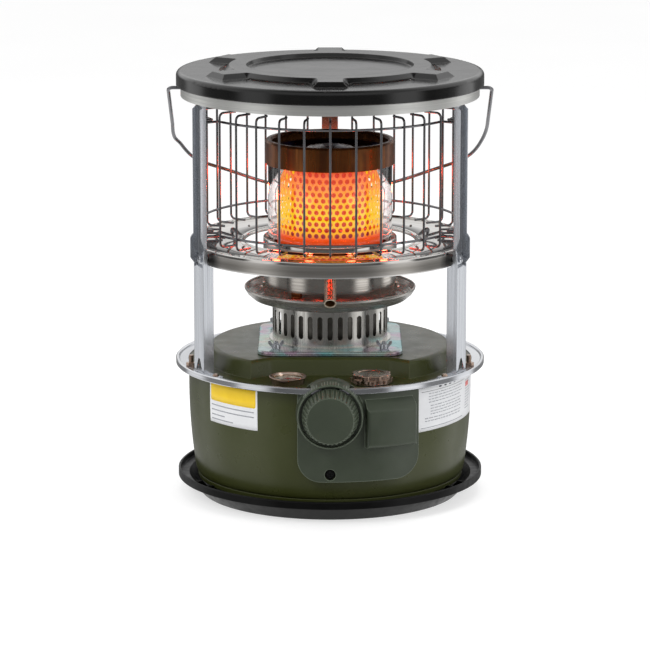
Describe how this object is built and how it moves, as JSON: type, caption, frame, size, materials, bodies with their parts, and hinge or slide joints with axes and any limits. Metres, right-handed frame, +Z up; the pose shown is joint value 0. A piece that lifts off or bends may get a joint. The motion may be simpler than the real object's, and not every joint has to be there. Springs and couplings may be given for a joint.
{
  "type": "kerosene heater",
  "caption": "Round portable wick heater: tank on a drip tray, slotted burner base, glass chimney burner, mirror plate, wire cage, star embossed top and carrying bail.",
  "frame": {"origin": "centre of the drip tray's underside, on the heater's vertical axis", "axes": "+Z up, the control knob faces -Y, +X to the right seen from the front"},
  "size_m": [0.3456, 0.3555, 0.459],
  "materials": {
    "tank_paint": "semi-gloss olive green stoving enamel",
    "cover_plastic": "satin olive green moulding",
    "tray_plastic": "black moulding",
    "top_enamel": "gloss black enamel",
    "bright_steel": "bright plated steel",
    "brushed_steel": "brushed stainless steel",
    "plated_steel": "zinc plated steel, slightly tinted",
    "bronze": "heat tinted bronze",
    "nickel": "warm nickel plate",
    "heat_steel": "heat tinted brown steel",
    "glowing_steel": "red hot perforated steel",
    "clear_glass": "clear heat resisting glass",
    "dial_white": "printed dial",
    "needle_red": "red pointer",
    "cork": "sealed foam float and fibre gasket",
    "wick_fibre": "woven glass and cotton wick",
    "tank_steel": "plain steel inside the tank"
  },
  "bodies": {
    "frame": {"drip_tray": "tray_plastic", "tank_lower": "tank_paint", "tank_upper": "tank_paint", "shaft_tunnel": "tank_steel", "draft_tube": "tank_steel", "guard_ring": "bright_steel", "filler_neck": "nickel", "fuel_strainer": "tank_steel", "gauge_bezel": "bright_steel", "gauge_stem": "tank_steel", "gauge_dial": "dial_white", "gauge_lens": "clear_glass", "wick_guide_tube": "tank_steel", "control_cover": "cover_plastic", "cover_screw": "plated_steel", "pendulum_bracket": "plated_steel", "base_gasket": "cork", "burner_base_plate": "plated_steel", "base_studs": "plated_steel", "wing_nuts": "bronze", "slotted_collar": "bright_steel", "burner_dish": "brushed_steel", "reflector_plate": "bright_steel", "leg_left": "plated_steel", "leg_right": "plated_steel", "leg_rear": "plated_steel", "post_left": "plated_steel", "post_right": "plated_steel", "post_rear": "plated_steel", "post_screws": "plated_steel", "post_spacers": "plated_steel", "foot_bolts": "bronze", "guard_front": "bright_steel", "guard_rear_left": "bright_steel", "guard_rear_right": "bright_steel", "guard_hoops": "bright_steel", "top_ring": "brushed_steel", "top_plate": "top_enamel", "heat_deflector": "plated_steel"},
    "knob": {"knob": "cover_plastic", "pinion_shaft": "tank_steel"},
    "wick_carrier": {"wick": "wick_fibre", "wick_holder": "tank_steel"},
    "bail": {"bail": "bright_steel"},
    "burner": {"burner_skirt": "bright_steel", "burner_handle": "bronze", "glass_seat_ring": "bright_steel", "glass_chimney": "clear_glass", "outer_flame_tube": "glowing_steel", "inner_flame_tube": "glowing_steel", "cross_pin": "heat_steel", "burner_cap_ring": "heat_steel", "burner_top_dish": "heat_steel"},
    "cap_plug": {"fuel_cap_plug": "nickel", "fuel_cap_gasket": "cork"},
    "cap_shell": {"fuel_cap": "nickel"},
    "float_lever": {"float_arm": "tank_steel", "float": "cork"},
    "gauge_pointer": {"gauge_needle": "needle_red"},
    "tip_pendulum": {"pendulum": "plated_steel"}
  },
  "joints": [
    {"name": "knob_turn", "type": "hinge", "parent": "frame", "child": "knob", "pos_m": [0, -0.17, 0.117], "axis": [0, 1, 0], "range_deg": [-110, 0]},
    {"name": "wick_lift", "type": "slide", "parent": "frame", "child": "wick_carrier", "axis": [0, 0, 1], "range_m": [-0.0115, 0]},
    {"name": "bail_swing", "type": "hinge", "parent": "frame", "child": "bail", "pos_m": [0, 0, 0.434], "axis": [1, 0, 0], "range_deg": [0, 266]},
    {"name": "burner_tilt", "type": "hinge", "parent": "frame", "child": "burner", "pos_m": [0, 0.07, 0.2089], "axis": [-1, 0, 0], "range_deg": [0, 10]},
    {"name": "fuel_cap_lift", "type": "slide", "parent": "frame", "child": "cap_plug", "axis": [0, 0, 1], "range_m": [0, 0.08]},
    {"name": "fuel_cap_turn", "type": "hinge", "parent": "cap_plug", "child": "cap_shell", "pos_m": [0.043, -0.121, 0.15], "axis": [0, 0, 1], "range_deg": [0, 270]},
    {"name": "float_swing", "type": "hinge", "parent": "frame", "child": "float_lever", "pos_m": [-0.044, -0.121, 0.082], "axis": [-0.766, -0.6428, 0], "range_deg": [-32, 32]},
    {"name": "gauge_turn", "type": "hinge", "parent": "frame", "child": "gauge_pointer", "pos_m": [-0.044, -0.121, 0.145], "axis": [0, 0, 1], "range_deg": [-64.5, 64.5]},
    {"name": "pendulum_swing", "type": "hinge", "parent": "frame", "child": "tip_pendulum", "pos_m": [0.06426, -0.14434, 0.122], "axis": [0.4067, -0.9135, 0], "range_deg": [-10, 10]}
  ],
  "couplings": [
    {"joint": "knob_turn", "follows": "wick_lift", "rad_per_m": 166.67},
    {"joint": "gauge_turn", "follows": "float_swing", "ratio": -2}
  ]
}
